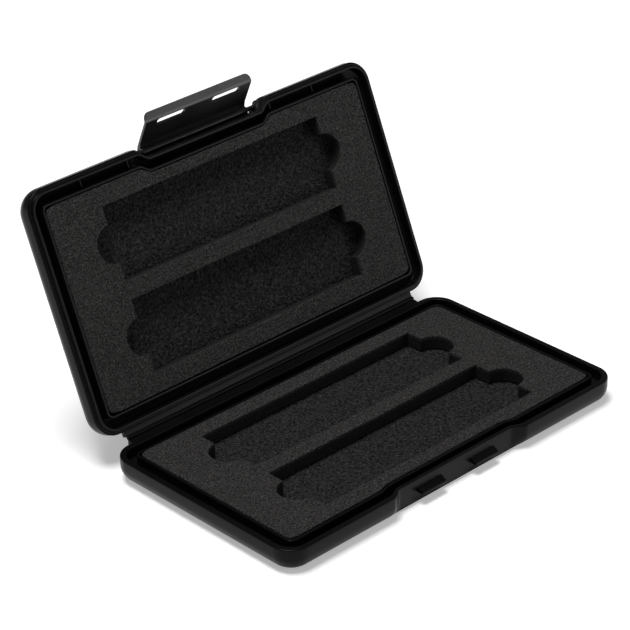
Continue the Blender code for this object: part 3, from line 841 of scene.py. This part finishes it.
class DRIVEBOX_OT_flap(bpy.types.Operator):
    """Build the flap with its barrel, slots and bent lip"""
    bl_idname = "drive_box.flap"
    bl_label = "Flap"

    def execute(self, context):
        flap = context.scene.drive_box_flap
        points, faces = flap_surface(flap)
        thing = make_piece("latch_flap", points, faces)
        place_mesh(thing, lambda p: on_flap(turned(p, SHUT_PIN, flap.lean)))
        round_edges(thing, flap.edge_round, 38)
        finish(thing, shared_material("flap_satin"), "latch")
        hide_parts("latch")
        return {"FINISHED"}


def upright(out, downs):
    """Points at one distance out from the pin and several down from it."""
    return np.stack([np.full(len(downs), out), downs], -1)


def flap_section(flap):
    """Outer and inner lines of the upright flap as (out, down) from the pin, root to tip, and widths.

    The outer line leaves the barrel at a tangent, meets the panel at the knee, passes the slots, turns
    outwards round the bend's centre by the lip's angle and runs straight to the tip. The inner line starts
    within the barrel's wall and does the same one thickness further in. A width is 1, and over the lip
    cos u at the share sin u of its run.
    """
    outer = flap.offset + flap.thickness
    leave = flap.barrel * np.array([math.cos(flap.root), -math.sin(flap.root)])
    knee = leave[1] + (outer - leave[0]) / math.tan(flap.root)
    inside = (flap.barrel + flap.bore) / 2
    cut = flap.slot_corner
    slot = flap.slot_start + np.array([0, cut, flap.slot_height - cut, flap.slot_height])
    centre = np.array([outer + flap.bend, slot[-1] + flap.slot_to_lip])
    angle = np.linspace(0, flap.lip, BEND_STEPS + 1)
    around = np.stack([-np.cos(angle), np.sin(angle)], -1)
    far = flap.bend + flap.thickness
    run = (flap.reach - centre[1] - far * math.sin(flap.lip)) / math.cos(flap.lip)
    round_corner = np.linspace(0, math.pi / 2, TIP_STEPS + 1)[1:]
    along = run * np.sin(round_corner)[:, None] * (math.sin(flap.lip), math.cos(flap.lip))
    lines = []
    for start, out, radius in (([leave, (outer, knee)], outer, flap.bend),
                               ([(flap.offset - (flap.fillet - inside) * math.tan(flap.root), inside),
                                 (flap.offset, flap.fillet)], flap.offset, far)):
        bend = centre + radius * around
        lines.append(np.concatenate([start, upright(out, slot), bend, bend[-1] + along]))
    width = np.concatenate([np.ones(len(lines[0]) - TIP_STEPS), np.cos(round_corner)])
    return lines[0], lines[1], width


def flap_columns(flap):
    """Places along the flap's width: middle, slots' corners, starts of the tip corners and edges."""
    half_slot = flap.slot_width / 2
    cut = flap.slot_corner
    slot = flap.slot_spacing / 2 + np.array([-half_slot, cut - half_slot, half_slot - cut, half_slot])
    places = np.concatenate([slot, [flap.half_width - flap.tip_radius, flap.half_width]])
    return np.concatenate([-places[::-1], [0], places])


def flap_surface(flap):
    """A shell of two sheets with two slots through it.

    The rows run down the outer line and up the inner one, the columns across. The outermost column lies
    at h - r + r w, with h the half width, r the tip corners' radius and w the row's width. Rows 2 to 5
    of either line lie at a slot's four heights, and a slot takes up three columns of faces. The faces
    of both slots are left out and their rims joined.
    """
    outer_line, inner_line, width = flap_section(flap)
    line = np.concatenate([outer_line, inner_line[::-1]])
    width = np.concatenate([width, width[::-1]])
    columns = flap_columns(flap)
    points = np.empty((len(line), len(columns), 3))
    points[..., 0] = columns
    edge = flap.half_width - flap.tip_radius * (1 - width)
    points[:, 0, 0] = -edge
    points[:, -1, 0] = edge
    points[..., 1] = SHUT_PIN[1] - line[:, :1]
    points[..., 2] = SHUT_PIN[2] - line[:, 1:]
    last = len(line) - 1
    number = np.arange(points.shape[0] * points.shape[1]).reshape(points.shape[:2])
    faces = grid_faces(*number.shape, round_rows=True, round_columns=False)
    keep = np.ones(faces.shape[:2], bool)
    rims = []
    for first in (len(columns) // 2 + 1, len(columns) // 2 - 4):
        keep[2:5, first:first + 3] = False
        keep[last - 5:last - 2, first:first + 3] = False
        loop = np.array([(2, 1), (2, 2), (3, 3), (4, 3), (5, 2), (5, 1), (4, 0), (3, 0)])
        outside = number[loop[:, 0], first + loop[:, 1]]
        inside = number[last - loop[:, 0], first + loop[:, 1]]
        rims += np.stack([outside, np.roll(outside, -1), np.roll(inside, -1), inside], -1).tolist()
        for row, column, edge_row, edge_column in ((2, 0, 3, 1), (2, 3, 3, 2), (5, 0, 4, 1), (5, 3, 4, 2)):
            corner = np.array([(row, column), (edge_row, column), (row, edge_column)])
            rims.append(number[corner[:, 0], first + corner[:, 1]].tolist())
            rims.append(number[last - corner[:, 0], first + corner[:, 1]].tolist())
    ends = number[:, [0, -1]]
    sides = np.stack([ends[:-1], ends[1:], ends[::-1][1:], ends[::-1][:-1]], -1)[:len(outer_line) - 1]
    return points, faces[keep].tolist() + rims + sides.reshape(-1, 4).tolist()


class DRIVEBOX_OT_barrel(bpy.types.Operator):
    """Build the flap's barrel round the pin"""
    bl_idname = "drive_box.barrel"
    bl_label = "Barrel"

    def execute(self, context):
        flap = context.scene.drive_box_flap
        half = flap.half_width
        thing = tube("latch_barrel", -half, half, flap.bore, flap.barrel, flap.edge_round)
        place_mesh(thing, on_flap)
        finish(thing, shared_material("flap_satin"), "latch")
        return {"FINISHED"}


class DRIVEBOX_OT_pin(bpy.types.Operator):
    """Build the latch pin"""
    bl_idname = "drive_box.pin"
    bl_label = "Pin"

    def execute(self, context):
        flap = context.scene.drive_box_flap
        pin = capped_rod("latch_wire", SHUT_PIN, flap.pin_radius, flap.pin_half)
        place_mesh(pin, on_lid)
        finish(pin, shared_material("wire_black"), "lid")
        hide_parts("latch_pin")
        return {"FINISHED"}


# Foam


def pocket_side(foam, low, high):
    """The right-hand end of a pocket, from low to high: two straight stretches and a round notch."""
    middle = (low + high) / 2
    angle = np.linspace(-math.pi / 2, math.pi / 2, NOTCH_STEPS)
    half = foam.pocket_length / 2
    straight = np.full(NOTCH_SIDE_STEPS, half)
    below = np.stack([straight, np.linspace(low, middle - foam.finger, NOTCH_SIDE_STEPS)], -1)
    notch = np.stack([half + foam.finger * np.cos(angle), middle + foam.finger * np.sin(angle)], -1)
    above = np.stack([straight, np.linspace(middle + foam.finger, high, NOTCH_SIDE_STEPS)], -1)
    return np.concatenate([below, notch[1:-1], above])


def level_line(x, y):
    """Points along X at one y, without the last."""
    return np.stack([x, np.full(len(x), float(y))], -1)[:-1]


def half_loops(tray, foam, row, jog, recess_half, recess_run):
    """Matching loops round one pocket and round its half of the foam, anticlockwise.

    Both start at the low left corner: low edge, right end, high edge, left end, with as many points on
    each. The half's outer corners are quarter circles, and its front edge follows the recess.
    """
    half_x = tray.length / 2 - foam.inset
    half_y = tray.depth / 2 - foam.inset
    near = foam.pocket_web / 2
    far = near + foam.pocket_width
    low, high = (near, far) if row > 0 else (-far, -near)
    outer_low, outer_high = (0, half_y) if row > 0 else (-half_y, 0)
    end = pocket_side(foam, low, high)
    along = np.linspace(-1, 1, POCKET_STEPS)
    inner_x = foam.pocket_length / 2 * along
    outer_x = half_x * along
    outer_x[1] = foam.edge - half_x
    outer_x[-2] = half_x - foam.edge
    outer_end = np.linspace(outer_low, outer_high, len(end))
    mirror = end[::-1] * (-1, 1)
    inner = np.concatenate([
        level_line(inner_x, low),
        end[:-1],
        level_line(inner_x[::-1], high),
        mirror[:-1],
    ])
    outer = np.concatenate([
        level_line(outer_x, outer_low),
        np.stack([np.full(len(end), half_x), outer_end], -1)[:-1],
        level_line(outer_x[::-1], outer_high),
        np.stack([np.full(len(end), -half_x), outer_end[::-1]], -1)[:-1],
    ])
    centre = np.stack([np.sign(outer[:, 0]) * (half_x - foam.corner),
                       np.sign(outer[:, 1]) * (half_y - foam.corner)], -1)
    gap = outer - centre
    length = np.maximum(np.linalg.norm(gap, axis=1, keepdims=True), 1e-9)
    in_corner = (np.abs(outer[:, 0]) > half_x - foam.corner) & (np.abs(outer[:, 1]) > half_y - foam.corner)
    outer = np.where(in_corner[:, None], centre + gap / length * foam.corner, outer)
    blend = smoothstep((recess_half + recess_run - np.abs(outer[:, 0])) / recess_run)
    on_front = outer[:, 1] < -half_y + 0.3 * foam.corner
    outer[:, 1] += np.where(on_front, jog * blend, 0)
    return inner, outer


def foam_half(tray, foam, row, depth, recess, seed):
    """One half of a foam frame, face at height 0 and back at -depth, open along the middle line.

    The surface is a band between the two loops: up the pocket's wall, over its rounded edge, across
    the face, over the outer edge, down the outside and back underneath.
    """
    inner, outer = half_loops(tray, foam, row, *recess)
    gap = outer - inner
    length = np.linalg.norm(gap, axis=1, keepdims=True)
    toward = gap / length
    half_x = tray.length / 2 - foam.inset
    on_middle = np.abs(outer[:, 1]) < 1e-9
    inside_middle = on_middle & (np.abs(outer[:, 0]) < half_x - 1e-9)
    angle = np.linspace(0, math.pi / 2, FOAM_EDGE_STEPS)
    edge = foam.edge

    def level(place, height):
        return np.column_stack([place, np.broadcast_to(height, len(place))])

    levels = [level(inner, -part * depth) for part in WALL_LEVELS]
    levels += [level(inner + toward * edge * (1 - math.cos(a)), edge * (math.sin(a) - 1)) for a in angle]
    face = len(levels)
    for portion in smoothstep(np.linspace(0, 1, FACE_STEPS)[1:-1]):
        levels.append(level(inner + toward * (edge + (length - 2 * edge) * portion), 0))
    face_end = len(levels)
    rounded = np.where(inside_middle, 0.0, 1.0)[:, None]
    for a in angle[::-1]:
        inwards = edge * (1 - math.cos(a)) * rounded
        drop = (edge * (math.sin(a) - 1) * rounded)[:, 0]
        levels.append(level(outer - toward * inwards, drop))
    levels.append(level(outer, -depth))
    points = np.stack(levels)
    ripple = layered(points[..., 0], points[..., 1], FOAM_SWELLINGS, seed)
    points[face:face_end, :, 2] += (foam.swell * ripple)[face:face_end]
    wall = uneven(points[..., 0], points[..., 2] * CUT_STRETCH + points[..., 1], CUT_SWELLING, seed + 2)
    points[1:3, :, :2] += (toward * foam.swell)[None] * wall[1:3, :, None]
    faces = grid_faces(points.shape[0], points.shape[1], round_rows=True)
    keep = np.ones(faces.shape[:2], bool)
    both = on_middle & np.roll(on_middle, -1)
    keep[points.shape[0] - 2, both] = False
    return points, faces[keep]


def foam_frame(name, tray, foam, depth, recess, seed):
    """Both halves of a foam frame as one piece, face up at height 0."""
    front, front_faces = foam_half(tray, foam, -1, depth, recess, seed)
    back, back_faces = foam_half(tray, foam, 1, depth, recess, seed)
    points = np.concatenate([front.reshape(-1, 3), back.reshape(-1, 3)])
    faces = np.concatenate([front_faces, back_faces + front.size // 3])
    thing = make_piece(name, points, list(faces), FOAM_SHARP)
    # Marks the walls that get the painted shade.
    mark_shaded_walls(thing.data, foam.edge)
    return thing


def mark_shaded_walls(mesh, edge):
    """Attribute "cut" of a layer that faces up at height 0, the mask of the painted shade on its walls:
    smoothstep of (depth / edge - 1).
    """
    points = np.empty(len(mesh.vertices) * 3)
    mesh.vertices.foreach_get("co", points)
    cut = smoothstep(-points[2::3] / edge - 1)
    mesh.attributes.new("cut", "FLOAT", "POINT").data.foreach_set("value", cut)


def foam_pad(name, tray, foam, thickness, jog, seed):
    """A coarse pad, face up at height 0: a grid over its rectangle whose face is uneven with pores.

    The grid's border rows fold down to the back. The height is coarse (n - 1), with n the sum of two
    swellings between -1 and 1.
    """
    half_x = tray.length / 2 - foam.inset
    half_y = tray.depth / 2 - foam.inset - foam.gap - jog
    x = np.linspace(-half_x, half_x, PAD_COLUMNS)
    y = np.linspace(-half_y, half_y, PAD_ROWS)
    grid_x, grid_y = np.meshgrid(x, y)
    pores = layered(grid_x, grid_y, SPONGE_SWELLINGS, seed)
    face = np.stack([grid_x, grid_y, foam.coarse * (pores - 1)], -1)
    face[[0, -1], :, 2] = -2 * foam.coarse
    face[:, [0, -1], 2] = -2 * foam.coarse
    back = face.copy()
    back[..., 2] = -thickness
    count = face.shape[0] * face.shape[1]
    numbers = np.arange(count).reshape(face.shape[:2])
    faces = grid_faces(*face.shape[:2], round_columns=False).reshape(-1, 4)
    border = np.concatenate([numbers[0, :-1], numbers[:-1, -1], numbers[-1, :0:-1], numbers[:0:-1, 0]])
    after = np.roll(border, -1)
    walls = np.stack([border, after, after + count, border + count], -1)
    under = faces[:, ::-1] + count
    points = np.concatenate([face.reshape(-1, 3), back.reshape(-1, 3)])
    return make_piece(name, points, list(np.concatenate([faces, walls, under])), SPONGE_SHARP)


class DRIVEBOX_OT_foam(bpy.types.Operator):
    """Build the foam layers of the base and the lid"""
    bl_idname = "drive_box.foam"
    bl_label = "Foam"

    def execute(self, context):
        tray = context.scene.drive_box_tray
        foam = context.scene.drive_box_foam
        rim = tray.base_height + tray.shut_gap
        sides = (
            ("base", tray.base_height, foam.base_pocket, tray.base_height,
             (tray.base_jog, tray.base_recess_half, tray.base_recess_run), BASE_SEED),
            ("lid", rim, foam.lid_pocket, tray.lid_height,
             (tray.lid_jog, tray.lid_recess_half, tray.lid_recess_run), LID_SEED),
        )
        for body, level, depth, height, recess, seed in sides:
            thickness = height - tray.floor - depth - 2 * foam.gap
            layer = foam_frame(body + "_cut_foam", tray, foam, depth, recess, seed)
            pad = foam_pad(body + "_sponge", tray, foam, thickness, recess[0], seed + SPONGE_SEED_STEP)
            for thing, below in ((layer, 0), (pad, depth + foam.gap)):
                place_mesh(thing, lambda p: self.lay(p, body, level, below))
            finish(layer, shared_material("foam_fine"), body)
            finish(pad, shared_material("foam_coarse"), body)
            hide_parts(body + "_foam_frame")
            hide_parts(body + "_foam_pad")
        return {"FINISHED"}

    def lay(self, points, body, level, below):
        """Lay a layer that faces up at height 0 into the base, or face down into the lid."""
        if body == "base":
            return points + (0, 0, level - below)
        return on_lid(points * (1, 1, -1) + (0, 0, level + below))


# Stage


def shown_strength(tree, strength):
    """A strength for the camera, in reflections and through glass, and none as light."""
    path = tree.nodes.new("ShaderNodeLightPath")
    total = path.outputs["Is Camera Ray"]
    for ray in ("Is Glossy Ray", "Is Transmission Ray"):
        larger = tree.nodes.new("ShaderNodeMath")
        larger.operation = "MAXIMUM"
        tree.links.new(total, larger.inputs[0])
        tree.links.new(path.outputs[ray], larger.inputs[1])
        total = larger.outputs[0]
    times = tree.nodes.new("ShaderNodeMath")
    times.operation = "MULTIPLY"
    tree.links.new(total, times.inputs[0])
    times.inputs[1].default_value = strength
    return times.outputs[0]


class DRIVEBOX_OT_stage(bpy.types.Operator):
    """Set up the camera, the floor and the light"""
    bl_idname = "drive_box.stage"
    bl_label = "Stage"

    def execute(self, context):
        stage = context.scene.drive_box_stage
        self.camera(context.scene, stage)
        self.floor(stage)
        self.light(context.scene, stage)
        context.scene.view_settings.view_transform = "Standard"
        return {"FINISHED"}

    def camera(self, scene, stage):
        """Camera on the line of the photograph's view."""
        azimuth, elevation = stage.azimuth, stage.elevation
        back = Vector((math.sin(azimuth) * math.cos(elevation), -math.cos(azimuth) * math.cos(elevation),
                       math.sin(elevation)))
        right = (-back).cross(Vector((0, 0, 1))).normalized()
        up = back.cross(right)
        cosine, sine = math.cos(stage.roll), math.sin(stage.roll)
        right, up = right * cosine + up * sine, up * cosine - right * sine
        data = bpy.data.cameras.new("camera")
        data.lens = stage.lens
        data.sensor_width = 36
        data.clip_start = 0.05
        data.clip_end = 20
        thing = bpy.data.objects.new("camera", data)
        turned_to = Matrix((right, up, back)).transposed().to_4x4()
        thing.matrix_world = Matrix.Translation(Vector(stage.target) + back * stage.distance) @ turned_to
        scene.collection.objects.link(thing)
        scene.camera = thing

    def floor(self, stage):
        """Pale floor under the box, as a flat disc."""
        angle = np.linspace(0, math.tau, FLOOR_STEPS, endpoint=False)
        ring = np.stack([FLOOR_RADIUS * np.cos(angle), FLOOR_RADIUS * np.sin(angle),
                         np.full(FLOOR_STEPS, FLOOR_LEVEL)], -1)
        mesh = bpy.data.meshes.new("floor")
        mesh.from_pydata(ring.tolist(), [], [list(range(FLOOR_STEPS))])
        thing = bpy.data.objects.new("floor", mesh)
        bpy.context.scene.collection.objects.link(thing)
        material = bpy.data.materials.new("floor_paper")
        material.use_nodes = True
        tree = material.node_tree
        shader = tree.nodes["Principled BSDF"]
        shader.inputs["Base Color"].default_value = (*stage.floor, 1)
        shader.inputs["Roughness"].default_value = 0.9
        shader.inputs["Specular IOR Level"].default_value = 0
        shader.inputs["Emission Color"].default_value = (1, 1, 1, 1)
        tree.links.new(shown_strength(tree, stage.glow), shader.inputs["Emission Strength"])
        mesh.materials.append(material)

    def light(self, scene, stage):
        """A large soft lamp overhead, a low softbox at the front right and an even, weak sky."""
        world = bpy.data.worlds.new("studio")
        world.use_nodes = True
        background = world.node_tree.nodes["Background"]
        background.inputs["Color"].default_value = (1, 1, 1, 1)
        background.inputs["Strength"].default_value = stage.sky
        scene.world = world
        self.lamp(scene, "overhead", OVERHEAD, stage.key)
        self.lamp(scene, "softbox", SOFTBOX, stage.side)

    def lamp(self, scene, name, place_and_sides, power):
        """A rectangular lamp that points at the box."""
        place, sides = place_and_sides
        lamp = bpy.data.lights.new(name, "AREA")
        lamp.shape = "RECTANGLE"
        lamp.size, lamp.size_y = sides
        lamp.energy = power
        thing = bpy.data.objects.new(name, lamp)
        thing.location = place
        thing.rotation_euler = Vector(place).to_track_quat("Z", "Y").to_euler()
        scene.collection.objects.link(thing)


class DRIVEBOX_PT_panel(bpy.types.Panel):
    """The box's sizes, finishes and building steps"""
    bl_idname = "DRIVEBOX_PT_panel"
    bl_label = "Drive Box"
    bl_space_type = "VIEW_3D"
    bl_region_type = "UI"
    bl_category = "Drive Box"

    def draw(self, context):
        layout = self.layout
        for operator in OPERATORS:
            layout.operator(operator.bl_idname)
        for key, group in GROUPS.items():
            box = layout.box()
            box.label(text=group.__doc__)
            settings = getattr(context.scene, key)
            for field in group.__annotations__:
                box.prop(settings, field)


OPERATORS = (
    DRIVEBOX_OT_base_tray,
    DRIVEBOX_OT_lid_tray,
    DRIVEBOX_OT_hinge_web,
    DRIVEBOX_OT_flap,
    DRIVEBOX_OT_barrel,
    DRIVEBOX_OT_pin,
    DRIVEBOX_OT_foam,
    DRIVEBOX_OT_stage,
)


def register():
    """Register the classes and hang the settings on the scene."""
    for key, group in GROUPS.items():
        bpy.utils.register_class(group)
        setattr(bpy.types.Scene, key, bpy.props.PointerProperty(type=group))
    for operator in OPERATORS:
        bpy.utils.register_class(operator)
    bpy.utils.register_class(DRIVEBOX_PT_panel)


def unregister():
    """Take the classes and the settings away again."""
    bpy.utils.unregister_class(DRIVEBOX_PT_panel)
    for operator in reversed(OPERATORS):
        bpy.utils.unregister_class(operator)
    for key, group in reversed(GROUPS.items()):
        delattr(bpy.types.Scene, key)
        bpy.utils.unregister_class(group)


def main():
    """Build everything in order."""
    register()
    for operator in OPERATORS:
        group, name = operator.bl_idname.split(".")
        getattr(getattr(bpy.ops, group), name)()


if __name__ == "__main__":
    main()
